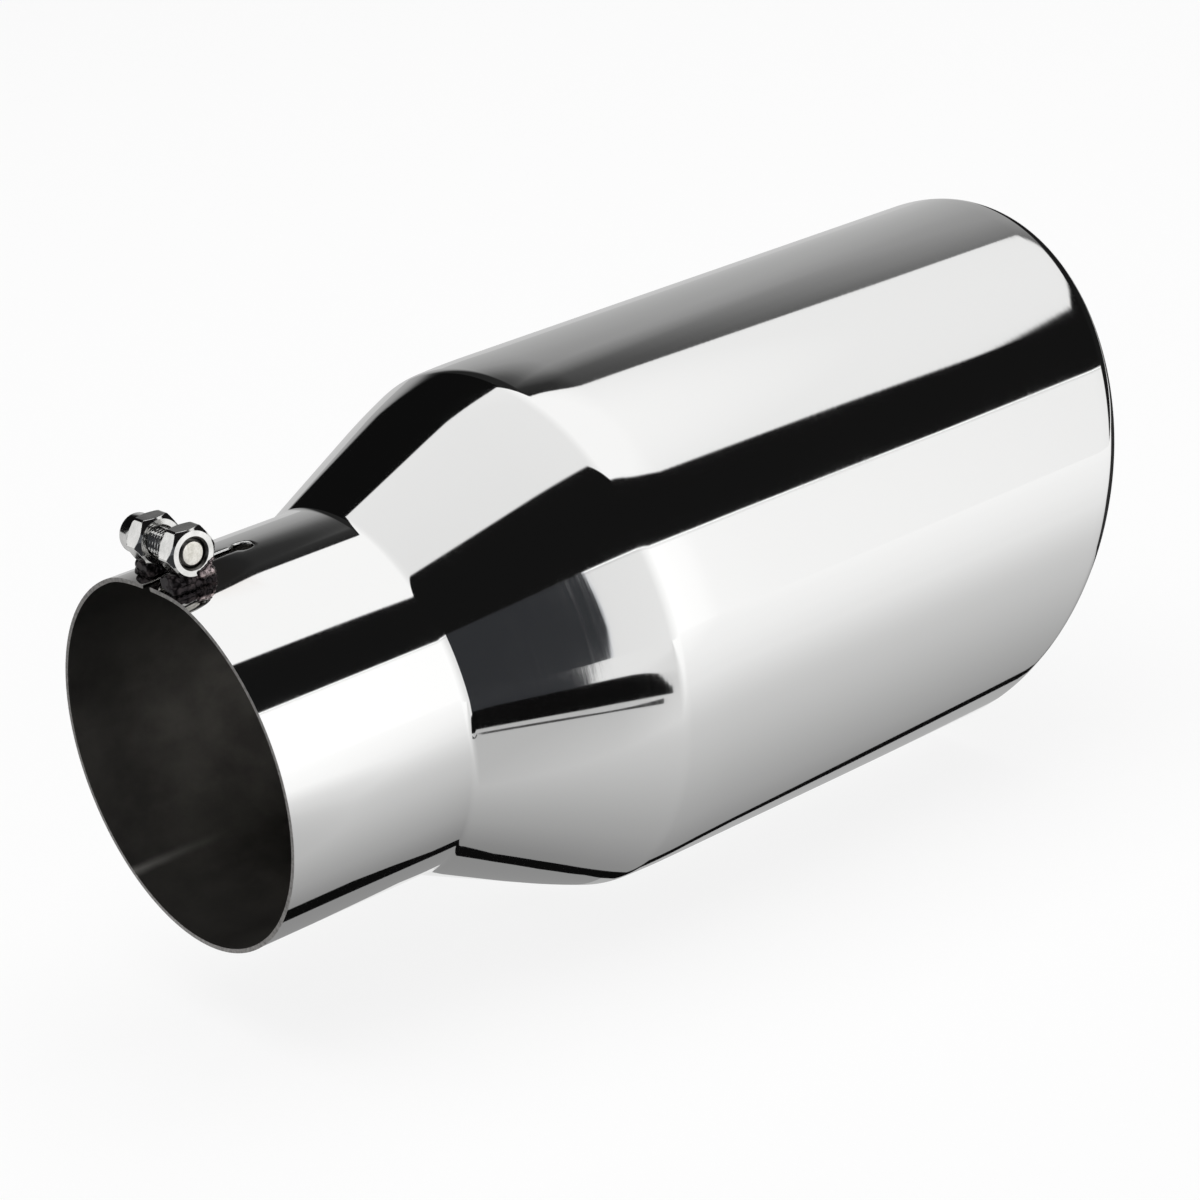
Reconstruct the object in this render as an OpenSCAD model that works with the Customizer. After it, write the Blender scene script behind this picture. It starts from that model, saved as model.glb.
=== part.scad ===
/* Exhaust tip: a slotted inlet neck that clamps over a tail pipe, a reducer
   cone, and a barrel with an angled mouth whose edge is rolled inwards.
   Frame: origin at the centre of the inlet mouth, +X along the tube towards
   the outlet, +Z towards the slot and the longest side of the angled cut. */

/* [Tubes] */
// Inside diameter of the inlet neck, which is the outside of the tail pipe
inlet_bore_d = 102; // [98:0.5:106]
// Sheet thickness of neck, cone and barrel
wall = 1.2; // [1:0.1:1.5]
// Outside diameter of the outlet barrel
barrel_d = 152.4; // [146:0.1:160]
// Greatest length, from the inlet mouth to the tip of the rolled lip
tip_len = 304.8; // [290:0.1:330]
// Angle of the cut mouth, from square
cut_angle = 19.5; // [10:0.5:25]
// Outside radius of the rolled-in lip
lip_r = 6.5; // [5:0.5:7]
// Length of the turned-back flange inside the lip
lip_return = 5; // [3:0.5:8]

/* [Cone] */
// Where the neck bends into the cone
bend_x = 58.2; // [57.5:0.1:62]
// Length of the small bend at the neck's flared end, where the cone is welded on
bend_len = 2.6; // [1:0.1:3]
// Where the straight part of the cone ends and it starts to crown
crown_x = 94.5; // [90:0.5:98]
// Where the crowned part meets the edge radius
edge_x = 110.2; // [106:0.1:112]
// Where the edge radius ends and the barrel begins
barrel_x = 113.2; // [112.5:0.1:116]
// Where the barrel has reached its full diameter
full_x = 128.2; // [120:0.1:140]
// Slope of the straight part of the cone
cone_slope = 24.4; // [22:0.1:26]
// Slope of the cone where the edge radius starts
crown_slope = 20.3; // [18:0.1:22]
// Slope of the barrel where it begins
draw_slope = 3.2; // [1:0.1:4]

/* [Slot] */
// Width of the clamping slot
slot_w = 3.2; // [2:0.1:4]
// Diameter of the round hole that ends the slot
slot_hole_d = 6; // [5:0.5:8]
// Distance of that hole's centre from the inlet mouth
slot_hole_x = 30.2; // [26:0.1:34]

/* [Clamp] */
// Distance of the screw's axis from the inlet mouth
screw_x = 7.6; // [7.6:0.1:12]
// Height of the screw's axis above the tube's axis
screw_z = 60.3; // [59.5:0.1:62]
// Width across the flats of the nuts
nut_af = 13; // [12:0.5:13]
// Height of the nuts
nut_h = 6.5; // [5:0.1:7]
// Distance of the near nut's inner face from the middle of the slot
near_gap = 6.7; // [5:0.1:8]
// Distance of the far nut's inner face from the middle of the slot
far_gap = 1.8; // [1.7:0.1:4]
// Nominal diameter of the screw
screw_d = 8; // [6:0.5:8]
// How far the screw's end lies inside the near nut's face
screw_recess = 0.4; // [0:0.1:2]
// Diameter of the screw's round head
head_d = 10.8; // [10:0.1:13]
// Height of the screw's head
head_h = 5.5; // [4:0.1:8]
// Width across the flats of the socket in the head
socket_af = 5; // [4:0.5:6]

/* [Hidden] */
neck_ri = inlet_bore_d / 2;
neck_ro = neck_ri + wall;
barrel_ro = barrel_d / 2;
barrel_ri = barrel_ro - wall;
shear = tan(cut_angle);
// middle plane of the mouth, where the roll starts, on the tube's axis
roll_x = tip_len - shear * (barrel_ro - lip_r) - lip_r / cos(cut_angle);
screw_end_y = -(near_gap + nut_h - screw_recess);
head_y = far_gap + nut_h;
bore_clear = 0.05;
$fn = 96;

// Slope of the outside at each station along the tube, [x, degrees]
stations = [[bend_x - bend_len / 2, 0], [bend_x + bend_len / 2, cone_slope],
            [crown_x, cone_slope], [edge_x, crown_slope],
            [barrel_x, draw_slope], [full_x, 0]];
// How many straight steps each stretch between two stations is drawn with
steps = [6, 1, 8, 6, 6];
outline = [for (i = [0 : len(steps) - 1], j = [0 : steps[i] - 1])
           stations[i] + (stations[i + 1] - stations[i]) * j / steps[i],
           stations[len(stations) - 1]];
function rise(i) = i == 0 ? 0
    : rise(i - 1) + (outline[i][0] - outline[i - 1][0])
      * tan((outline[i][1] + outline[i - 1][1]) / 2);
total_rise = rise(len(outline) - 1);
// The outside, [x, radius]; the rise is spread to meet both tubes exactly
outside = [for (i = [0 : len(outline) - 1])
           [outline[i][0],
            neck_ro + (barrel_ro - neck_ro) * rise(i) / total_rise]];
// The inside lies one sheet thickness along the normal from the outside
inside = [for (i = [0 : len(outline) - 1])
          outside[i] + wall * [sin(outline[i][1]), -cos(outline[i][1])]];
// The neck ends at the end of the bend, the cone where the barrel begins
n_neck = steps[0];
n_seam = steps[0] + steps[1] + steps[2] + steps[3];

// A solid turned about the tube's axis from [x, radius] points
module turned(points) {
    rotate([0, 90, 0]) rotate([0, 0, 90]) rotate_extrude($fn = 180)
        polygon([for (p = points) [p[1], p[0]]]);
}

module inlet_neck() {
    color("silver") difference() {
        turned(concat([[0, neck_ri]], [for (i = [0 : n_neck]) inside[i]],
                      [for (i = [n_neck : -1 : 0]) outside[i]],
                      [[0, neck_ro]]));
        translate([-1, -slot_w / 2, 0])
            cube([slot_hole_x + 1, slot_w, neck_ro + 5]);
        translate([slot_hole_x, 0, 0])
            cylinder(d = slot_hole_d, h = neck_ro + 5, $fn = 48);
    }
}

module reducer_cone() {
    last = outside[n_seam];
    color("silver") turned(concat(
        [for (i = [n_neck : n_seam - 1]) outside[i]],
        [[barrel_x, last[1]], [barrel_x, last[1] - wall / cos(draw_slope)]],
        [for (i = [n_seam - 1 : -1 : n_neck])
            if (inside[i][0] < barrel_x - 0.05) inside[i]]));
}

// The lip's section, [x from the roll's start, radius]: a half round and the
// flange that turns back, out along one side of the sheet, back on the other
lip_n = 12;
function lip_side(r) = [for (j = [0 : lip_n])
    [r * sin(180 * j / lip_n), barrel_ro - lip_r + r * cos(180 * j / lip_n)]];
lip_outer = concat(lip_side(lip_r), [[-lip_return, barrel_ro - 2 * lip_r]]);
lip_inner = concat(lip_side(lip_r - wall),
                   [[-lip_return, barrel_ro - 2 * lip_r + wall]]);
// Wall rings between the cone and the lip, [x, outer radius, inner radius]
wall_rings = [for (i = [n_seam : len(outside) - 1])
              [outside[i][0], outside[i][1],
               outside[i][1] - wall / cos(outline[i][1])]];
// One closed section: [x, radius, share of the shear], outside first
section = concat(
    [for (w = wall_rings) [w[0], w[1], 0]],
    [for (p = lip_outer) [roll_x + p[0], p[1], 1]],
    [for (j = [len(lip_inner) - 1 : -1 : 0])
        [roll_x + lip_inner[j][0], lip_inner[j][1], 1]],
    [for (j = [len(wall_rings) - 1 : -1 : 0])
        [wall_rings[j][0], wall_rings[j][2], 0]]);
barrel_sides = 96;

module outlet_barrel() {
    n = len(section);
    points = [for (i = [0 : barrel_sides - 1], s = section)
              let (a = 360 * i / barrel_sides)
              [s[0] + s[2] * shear * s[1] * cos(a), s[1] * sin(a),
               s[1] * cos(a)]];
    faces = [for (i = [0 : barrel_sides - 1], j = [0 : n - 1])
             let (i2 = (i + 1) % barrel_sides, j2 = (j + 1) % n)
             each [[i * n + j, i2 * n + j, i2 * n + j2],
                   [i * n + j, i2 * n + j2, i * n + j2]]];
    color("silver") polyhedron(points = points, faces = faces);
}

// Low bead on the inside of the neck's seam. It stays outside the bore
module neck_seam_weld() {
    s = inside[n_neck];
    t = tan(cone_slope);
    color("dimgray") turned(concat(
        [for (i = [n_neck - 3 : n_neck]) inside[i]],
        [s + [1.5, 1.5 * t], s + [1, t - 0.55], s - [0, 0.55],
         s - [0.9, 0.55]]));
}

// The same bead on the inside of the barrel's seam
module barrel_seam_weld() {
    r = outside[n_seam][1] - wall / cos(draw_slope) - 0.06;
    color("dimgray") turned([[barrel_x - 1.0, r - 0.35],
        [barrel_x, r], [barrel_x + 1.6, r],
        [barrel_x + 1.2, r - 0.5], [barrel_x, r - 0.8]]);
}

// Hex nut on the screw's axis, both faces chamfered, flats level with the tube
module hex_nut(y0) {
    corner = nut_af / 2 / cos(30);
    face_r = nut_af / 2 * 0.95;
    ch = (corner - face_r) * tan(30);
    translate([screw_x, y0, screw_z]) rotate([-90, 0, 0]) difference() {
        intersection() {
            cylinder(r = corner, h = nut_h, $fn = 6);
            union() {
                cylinder(r1 = face_r, r2 = corner, h = ch);
                translate([0, 0, ch]) cylinder(r = corner, h = nut_h - 2 * ch);
                translate([0, 0, nut_h - ch])
                    cylinder(r1 = corner, r2 = face_r, h = ch);
            }
        }
        translate([0, 0, -1])
            cylinder(d = screw_d + 2 * bore_clear, h = nut_h + 2);
    }
}

module near_nut() { color("gainsboro") hex_nut(-near_gap - nut_h); }
module far_nut() { color("gainsboro") hex_nut(far_gap); }

// Weld bead that fills the space between a nut's lower flats and the neck.
// y0 and y1 are its edges on the neck, y0 the one beside the slot, and it
// runs from x0 to x1 along the tube
module nut_bead(y0, y1, nut_y, x0, x1) {
    dir = sign(y1);
    difference() {
        union() {
            hull() {
                translate([x0 + 2.2, y0 + dir * 1.5, 51.5])
                    sphere(r = 2.2, $fn = 24);
                translate([x1 - 3.4, y0 + dir * 1.5, 51.5])
                    sphere(r = 2.2, $fn = 24);
                translate([x0 + 3, nut_y, 52.3]) sphere(r = 2.9, $fn = 24);
                translate([x1 - 4.2, nut_y, 52.3]) sphere(r = 2.9, $fn = 24);
            }
            hull() {
                translate([x0 + 3, nut_y, 52.3]) sphere(r = 2.9, $fn = 24);
                translate([x1 - 4.2, nut_y, 52.3]) sphere(r = 2.9, $fn = 24);
                translate([x0 + 2.4, y1 - dir * 1.6, 49.4]) sphere(r = 1.6, $fn = 24);
                translate([x1 - 4.2, y1 - dir * 2, 49.6])
                    sphere(r = 1.7, $fn = 24);
            }
        }
        rotate([0, 90, 0])
            translate([0, 0, -1]) cylinder(r = neck_ro, h = 60, $fn = 180);
        translate([screw_x, -30, screw_z]) rotate([-90, 0, 0])
            cylinder(r = nut_af / 2 / cos(30), h = 60, $fn = 6);
        translate([-1, -slot_w / 2, 40]) cube([40, slot_w, 30]);
    }
}

module near_nut_weld() {
    color("gray") nut_bead(-6.2, -15.4, -11.6, 0.5, 16);
}

module far_nut_weld() {
    color("gray") nut_bead(1.6, 12, 6.9, 2.6, 14.6);
}

module clamp_screw() {
    color("gainsboro") translate([screw_x, 0, screw_z]) rotate([-90, 0, 0]) {
        difference() {
            union() {
                translate([0, 0, screw_end_y])
                    cylinder(r1 = 3.1, r2 = screw_d / 2, h = 0.9);
                translate([0, 0, screw_end_y + 0.9])
                    cylinder(d = screw_d, h = head_y - screw_end_y - 0.9);
                translate([0, 0, head_y]) cylinder(d = head_d, h = head_h - 0.6);
                translate([0, 0, head_y + head_h - 0.6])
                    cylinder(d1 = head_d, d2 = head_d - 1.2, h = 0.6);
            }
            translate([0, 0, head_y + head_h - 3])
                cylinder(r = socket_af / 2 / cos(30), h = 4, $fn = 6);
        }
    }
}

inlet_neck();
reducer_cone();
outlet_barrel();
neck_seam_weld();
barrel_seam_weld();
near_nut();
far_nut();
near_nut_weld();
far_nut_weld();
clamp_screw();
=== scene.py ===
import math
import random

import bmesh
import bpy
import numpy as np
from mathutils import Matrix, Vector, noise


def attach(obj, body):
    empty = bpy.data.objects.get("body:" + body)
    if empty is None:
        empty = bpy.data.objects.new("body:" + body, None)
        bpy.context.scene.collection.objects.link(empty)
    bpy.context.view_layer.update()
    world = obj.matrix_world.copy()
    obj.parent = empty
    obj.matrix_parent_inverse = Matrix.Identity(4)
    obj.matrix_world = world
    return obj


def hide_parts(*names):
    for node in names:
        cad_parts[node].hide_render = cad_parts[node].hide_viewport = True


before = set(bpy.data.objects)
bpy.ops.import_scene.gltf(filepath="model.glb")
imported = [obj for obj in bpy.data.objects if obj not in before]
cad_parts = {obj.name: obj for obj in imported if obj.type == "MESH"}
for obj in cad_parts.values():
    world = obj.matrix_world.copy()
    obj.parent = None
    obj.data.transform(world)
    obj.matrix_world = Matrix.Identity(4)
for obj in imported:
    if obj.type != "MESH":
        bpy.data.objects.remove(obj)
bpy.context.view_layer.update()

random.seed(11)
MM = 0.001

# ---------------------------------------------------------------- sizes, mm
NECK_RI, WALL = 51.0, 1.2
NECK_RO = NECK_RI + WALL
BARREL_RO = 76.2
TIP_LEN = 304.8
SHEAR = math.tan(math.radians(19.5))
LIP_R, LIP_RETURN = 6.5, 5.0
ROLL_X = TIP_LEN - SHEAR * (BARREL_RO - LIP_R) - LIP_R / math.cos(math.radians(19.5))
STATIONS = [(56.9, 0.0), (59.5, 24.4), (94.5, 24.4), (110.2, 20.3), (113.2, 3.2), (128.2, 0.0)]
SLOT_W, HOLE_D, HOLE_X = 3.2, 6.0, 30.2
SCREW_X, SCREW_Z = 7.6, 60.3


def fine_profile():
    """The outside of the tube as many (x, radius, slope) points."""
    pts = [(0.0, 0.0, 0.0)]
    xs, slopes = [], []
    counts = [24, 18, 30, 26, 16]
    for (x0, a0), (x1, a1), n in zip(STATIONS, STATIONS[1:], counts):
        for j in range(n):
            xs.append(x0 + (x1 - x0) * j / n)
            slopes.append(a0 + (a1 - a0) * j / n)
    xs.append(STATIONS[-1][0])
    slopes.append(0.0)
    rise = [0.0]
    for i in range(1, len(xs)):
        mid = math.radians((slopes[i] + slopes[i - 1]) / 2)
        rise.append(rise[-1] + (xs[i] - xs[i - 1]) * math.tan(mid))
    k = (BARREL_RO - NECK_RO) / rise[-1]
    return [(x, NECK_RO + k * r, math.radians(s)) for x, r, s in zip(xs, rise, slopes)]


PROFILE = fine_profile()
N_BEND = 24            # index of the end of the bend, where neck meets cone
N_SEAM = 24 + 18 + 30 + 26  # index of the start of the barrel


def inner(p, t=WALL):
    return (p[0] + t * math.sin(p[2]), p[1] - t * math.cos(p[2]), p[2])


# ---------------------------------------------------------------- mesh help
def make(name, verts, faces, mats, index=None, smooth=None):
    me = bpy.data.meshes.new(name)
    me.from_pydata([tuple(v) for v in verts], [], [tuple(f) for f in faces])
    for m in mats:
        me.materials.append(m)
    if index is not None:
        me.polygons.foreach_set("material_index", np.asarray(index, np.int32))
    if smooth is None:
        smooth = np.ones(len(faces), bool)
    me.polygons.foreach_set("use_smooth", np.asarray(smooth, bool))
    me.update()
    ob = bpy.data.objects.new(name, me)
    bpy.context.scene.collection.objects.link(ob)
    return ob


def sharp_by_angle(ob, degrees):
    """Marks edges sharper than this as sharp, so smooth faces meet in a crisp edge there."""
    me = ob.data
    normals = np.zeros(len(me.polygons) * 3)
    me.polygons.foreach_get("normal", normals)
    normals = normals.reshape(-1, 3)
    by_edge = {}
    for p in me.polygons:
        for k in p.edge_keys:
            by_edge.setdefault(k, []).append(p.index)
    limit = math.cos(math.radians(degrees))
    sharp = np.zeros(len(me.edges), bool)
    for e in me.edges:
        f = by_edge.get(tuple(sorted(e.vertices)), [])
        if len(f) != 2 or float(normals[f[0]] @ normals[f[1]]) < limit:
            sharp[e.index] = True
    att = me.attributes.get("sharp_edge") or me.attributes.new("sharp_edge", "BOOLEAN", "EDGE")
    att.data.foreach_set("value", sharp)
    me.update()


def ring_shell(name, section, sides, mats, index_of):
    """Turns a closed section of (x, radius, share of shear) about X. Returns the object."""
    n = len(section)
    sec = np.array([(s[0], s[1], s[2]) for s in section])
    ang = np.arange(sides) * 2 * np.pi / sides
    ca, sa = np.cos(ang)[:, None], np.sin(ang)[:, None]
    x = sec[None, :, 0] + sec[None, :, 2] * SHEAR * sec[None, :, 1] * ca
    y = sec[None, :, 1] * sa
    z = sec[None, :, 1] * ca
    verts = np.stack([x, y, z], -1).reshape(-1, 3) * MM
    faces, idx = [], []
    for i in range(sides):
        i2 = (i + 1) % sides
        for j in range(n):
            j2 = (j + 1) % n
            faces.append((i * n + j, i2 * n + j, i2 * n + j2, i * n + j2))
            idx.append(index_of(j))
    return make(name, verts, faces, mats, idx)


# ---------------------------------------------------------------- node help
class Nodes:
    def __init__(self, tree):
        self.t = tree

    def new(self, kind, **inputs):
        n = self.t.nodes.new(kind)
        for k, v in inputs.items():
            self.put(n.inputs[k.replace("_", " ")], v)
        return n

    def put(self, sock, v):
        if isinstance(v, bpy.types.NodeSocket):
            self.t.links.new(v, sock)
        else:
            sock.default_value = v

    def math(self, op, a, b=None, c=None, clamp=False):
        n = self.t.nodes.new("ShaderNodeMath")
        n.operation = op
        n.use_clamp = clamp
        for s, v in zip(n.inputs, (a, b, c)):
            if v is not None:
                self.put(s, v)
        return n.outputs[0]

    def add(self, a, b):
        return self.math("ADD", a, b)

    def sub(self, a, b):
        return self.math("SUBTRACT", a, b)

    def mul(self, a, b):
        return self.math("MULTIPLY", a, b)

    def div(self, a, b):
        return self.math("DIVIDE", a, b)

    def step(self, v, edge, soft=0.004):
        """0 below the edge, 1 above it."""
        n = self.t.nodes.new("ShaderNodeMapRange")
        n.interpolation_type = "SMOOTHSTEP"
        if isinstance(edge, bpy.types.NodeSocket):
            v, edge = self.sub(v, edge), 0.0
        self.put(n.inputs["Value"], v)
        n.inputs["From Min"].default_value = edge - soft
        n.inputs["From Max"].default_value = edge + soft
        return n.outputs["Result"]

    def curve(self, v, points):
        """A piecewise straight function of v through [(v, value)]."""
        lo, hi = points[0][0], points[-1][0]
        top = max(abs(p[1]) for p in points) or 1.0
        n = self.t.nodes.new("ShaderNodeMapRange")
        self.put(n.inputs["Value"], v)
        n.inputs["From Min"].default_value = lo
        n.inputs["From Max"].default_value = hi
        r = self.t.nodes.new("ShaderNodeValToRGB")
        self.t.links.new(n.outputs["Result"], r.inputs["Fac"])
        e = r.color_ramp.elements
        while len(e) > 1:
            e.remove(e[0])
        base = min(p[1] for p in points)
        span = (max(p[1] for p in points) - base) or 1.0
        for i, (a, b) in enumerate(points):
            s = (b - base) / span
            if i == 0:
                el = e[0]
                el.position = 0.0
            else:
                el = e.new((a - lo) / (hi - lo))
            el.color = (s, s, s, 1)
        g = self.math("MULTIPLY_ADD", r.outputs["Color"], span, base)
        return g

    def mix(self, f, a, b):
        """Mixes two numbers."""
        n = self.t.nodes.new("ShaderNodeMix")
        n.data_type = "FLOAT"
        self.put(n.inputs[0], f)
        self.put(n.inputs[2], a)
        self.put(n.inputs[3], b)
        return n.outputs[0]

    def mixc(self, f, a, b):
        """Mixes two colours."""
        n = self.t.nodes.new("ShaderNodeMix")
        n.data_type = "RGBA"
        self.put(n.inputs[0], f)
        self.put(n.inputs[6], a)
        self.put(n.inputs[7], b)
        return n.outputs[2]


def material(name):
    m = bpy.data.materials.new(name)
    m.use_nodes = True
    nt = m.node_tree
    nt.nodes.clear()
    out = nt.nodes.new("ShaderNodeOutputMaterial")
    p = nt.nodes.new("ShaderNodeBsdfPrincipled")
    nt.links.new(p.outputs[0], out.inputs["Surface"])
    return m, Nodes(nt), p


def texcoord(k, scale=(1, 1, 1)):
    tc = k.t.nodes.new("ShaderNodeTexCoord")
    mp = k.t.nodes.new("ShaderNodeMapping")
    mp.inputs["Scale"].default_value = scale
    k.t.links.new(tc.outputs["Object"], mp.inputs["Vector"])
    return mp.outputs[0]


def noise_tex(k, vec, scale, detail=3.0, rough=0.55):
    n = k.t.nodes.new("ShaderNodeTexNoise")
    k.t.links.new(vec, n.inputs["Vector"])
    n.inputs["Scale"].default_value = scale
    n.inputs["Detail"].default_value = detail
    n.inputs["Roughness"].default_value = rough
    return n.outputs["Fac"]


# ---------------------------------------------------------------- materials
def polished(name, tint=False):
    m, k, p = material(name)
    p.inputs["Metallic"].default_value = 1.0
    p.inputs["Base Color"].default_value = (0.80, 0.80, 0.795, 1)
    # faint polishing lines run round the tube: long along the turn, short along X
    tc = k.t.nodes.new("ShaderNodeTexCoord")
    sep = k.t.nodes.new("ShaderNodeSeparateXYZ")
    k.t.links.new(tc.outputs["Object"], sep.inputs[0])
    x, y, z = sep.outputs
    turn = k.math("ARCTAN2", y, z)
    comb = k.t.nodes.new("ShaderNodeCombineXYZ")
    k.put(comb.inputs[0], k.mul(x, 900.0))
    k.put(comb.inputs[1], k.mul(turn, 2.2))
    lines = noise_tex(k, comb.outputs[0], 1.0, 4.0, 0.6)
    cloud = noise_tex(k, tc.outputs["Object"], 26.0, 4.0, 0.6)
    rough = k.curve(k.math("MULTIPLY_ADD", lines, 0.5, k.mul(cloud, 0.5)),
                    [(0.3, 0.028), (0.55, 0.045), (0.75, 0.085)])
    k.put(p.inputs["Roughness"], rough)
    b = k.t.nodes.new("ShaderNodeBump")
    b.inputs["Strength"].default_value = 0.011
    b.inputs["Distance"].default_value = 0.0002
    k.put(b.inputs["Height"], lines)
    # a little heat tint round the welded nuts
    ring = k.math("MAXIMUM", k.div(k.math("ABSOLUTE", k.sub(x, 0.008)), 0.015),
                  k.div(k.math("ABSOLUTE", k.math("ADD", turn, 0.03)), 0.36))
    heat = k.mul(k.sub(1.0, k.step(ring, 0.85, 0.30)), k.step(cloud, 0.42, 0.16))
    k.put(p.inputs["Base Color"], k.mixc(k.mul(heat, 0.55), (0.80, 0.80, 0.795, 1), (0.60, 0.52, 0.47, 1)))
    k.t.links.new(b.outputs[0], p.inputs["Normal"])
    return m


def dull_inside(name):
    m, k, p = material(name)
    p.inputs["Metallic"].default_value = 0.35
    p.inputs["Specular IOR Level"].default_value = 0.25
    tc = k.t.nodes.new("ShaderNodeTexCoord")
    sep = k.t.nodes.new("ShaderNodeSeparateXYZ")
    k.t.links.new(tc.outputs["Object"], sep.inputs[0])
    x, y, z = sep.outputs
    turn = k.math("ARCTAN2", y, z)
    comb = k.t.nodes.new("ShaderNodeCombineXYZ")
    k.put(comb.inputs[0], k.mul(x, 30.0))
    k.put(comb.inputs[1], k.mul(turn, 3.0))
    streak = noise_tex(k, comb.outputs[0], 1.0, 5.0, 0.6)
    blotch = noise_tex(k, tc.outputs["Object"], 38.0, 5.0, 0.62)
    f = k.math("MULTIPLY_ADD", streak, 0.25, k.mul(blotch, 0.75))
    # the tube's own seam, a faint lighter line along the inside
    wander = k.math("MULTIPLY_ADD", noise_tex(k, texcoord(k, (60, 60, 60)), 1.0, 3.0), 0.05, 2.45)
    seam = k.sub(1.0, k.step(k.math("ABSOLUTE", k.sub(turn, wander)), 0.018, 0.026))
    seam = k.mul(seam, k.curve(x, [(0.0, 1.0), (0.004, 0.9), (0.02, 0.4), (0.032, 0.0)]))
    r = k.t.nodes.new("ShaderNodeValToRGB")
    k.put(r.inputs["Fac"], f)
    r.color_ramp.elements[0].position = 0.36
    r.color_ramp.elements[0].color = (0.115, 0.108, 0.100, 1)
    r.color_ramp.elements[1].position = 0.68
    r.color_ramp.elements[1].color = (0.235, 0.222, 0.20, 1)
    # painted shade: the inside's own streaked colour is darkened towards the top and towards the mouth, where less
    # light reaches it
    shade_by_turn = k.curve(k.math("ABSOLUTE", turn), [(0.0, 0.12), (0.9, 0.22), (1.4, 0.62), (1.7, 1.0), (2.2, 1.0), (2.6, 0.6), (3.15, 0.45)])
    shade_by_depth = k.curve(x, [(0.0, 0.35), (0.012, 0.5), (0.03, 0.9), (0.045, 1.0)])
    inside_lit_share = k.mix(k.step(x, 0.06, 0.02), k.mul(shade_by_turn, shade_by_depth), 1.0)
    shaded_inside = k.mixc(inside_lit_share, (0.006, 0.006, 0.006, 1), r.outputs["Color"])
    k.put(p.inputs["Base Color"], k.mixc(k.mul(seam, 0.7), shaded_inside, (0.33, 0.32, 0.30, 1)))
    k.put(p.inputs["Roughness"], k.curve(f, [(0.3, 0.40), (0.7, 0.52)]))
    return m


def cut_edge(name):
    m, k, p = material(name)
    p.inputs["Metallic"].default_value = 1.0
    v = texcoord(k, (1, 1, 1))
    n = noise_tex(k, v, 900.0, 3.0)
    r = k.t.nodes.new("ShaderNodeValToRGB")
    k.put(r.inputs["Fac"], n)
    r.color_ramp.elements[0].position = 0.3
    r.color_ramp.elements[0].color = (0.16, 0.155, 0.15, 1)
    r.color_ramp.elements[1].position = 0.7
    r.color_ramp.elements[1].color = (0.34, 0.33, 0.32, 1)
    k.put(p.inputs["Base Color"], r.outputs["Color"])
    p.inputs["Roughness"].default_value = 0.42
    return m


def bright_steel(name):
    m, k, p = material(name)
    p.inputs["Metallic"].default_value = 1.0
    v = texcoord(k, (1, 1, 1))
    n = noise_tex(k, v, 260.0, 4.0, 0.6)
    fine = noise_tex(k, v, 1500.0, 2.0)
    r = k.t.nodes.new("ShaderNodeValToRGB")
    k.put(r.inputs["Fac"], n)
    r.color_ramp.elements[0].position = 0.3
    r.color_ramp.elements[0].color = (0.60, 0.60, 0.585, 1)
    r.color_ramp.elements[1].position = 0.7
    r.color_ramp.elements[1].color = (0.84, 0.835, 0.82, 1)
    k.put(p.inputs["Base Color"], r.outputs["Color"])
    k.put(p.inputs["Roughness"], k.curve(n, [(0.3, 0.07), (0.7, 0.15)]))
    b = k.t.nodes.new("ShaderNodeBump")
    b.inputs["Strength"].default_value = 0.06
    b.inputs["Distance"].default_value = 0.00008
    k.put(b.inputs["Height"], fine)
    k.t.links.new(b.outputs[0], p.inputs["Normal"])
    return m


def cut_metal(name):
    """The slot's cut: a painted highlight where its outer edge is rounded over, painted shade below."""
    m, k, p = material(name)
    p.inputs["Metallic"].default_value = 1.0
    tc = k.t.nodes.new("ShaderNodeTexCoord")
    sep = k.t.nodes.new("ShaderNodeSeparateXYZ")
    k.t.links.new(tc.outputs["Object"], sep.inputs[0])
    x, y, z = sep.outputs
    rad = k.math("SQRT", k.add(k.mul(y, y), k.mul(z, z)))
    pulled = k.curve(x, [(0.0, 0.0012), (0.00675, 0.00101), (0.0135, 0.0006), (0.02025, 0.00019), (0.027, 0.0)])
    # painted highlight on the rounded top of the cut, near-black painted shade on the wall below it
    painted_highlight = k.step(k.add(rad, pulled), 0.05172, 0.00018)
    k.put(p.inputs["Base Color"], k.mixc(painted_highlight, (0.05, 0.048, 0.045, 1), (0.86, 0.86, 0.85, 1)))
    p.inputs["Roughness"].default_value = 0.16
    return m


# Painted shade: this dark colour stands for the shade in the nut's countersink and threaded bore and on the screw's
# first threads inside the nut's mouth.
def shaded_thread_metal(name):
    m, k, p = material(name)
    p.inputs["Metallic"].default_value = 1.0
    n = noise_tex(k, texcoord(k), 700.0, 3.0)
    r = k.t.nodes.new("ShaderNodeValToRGB")
    k.put(r.inputs["Fac"], n)
    r.color_ramp.elements[0].position = 0.3
    r.color_ramp.elements[0].color = (0.10, 0.10, 0.095, 1)
    r.color_ramp.elements[1].position = 0.7
    r.color_ramp.elements[1].color = (0.34, 0.33, 0.31, 1)
    k.put(p.inputs["Base Color"], r.outputs["Color"])
    p.inputs["Roughness"].default_value = 0.30
    return m


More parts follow.
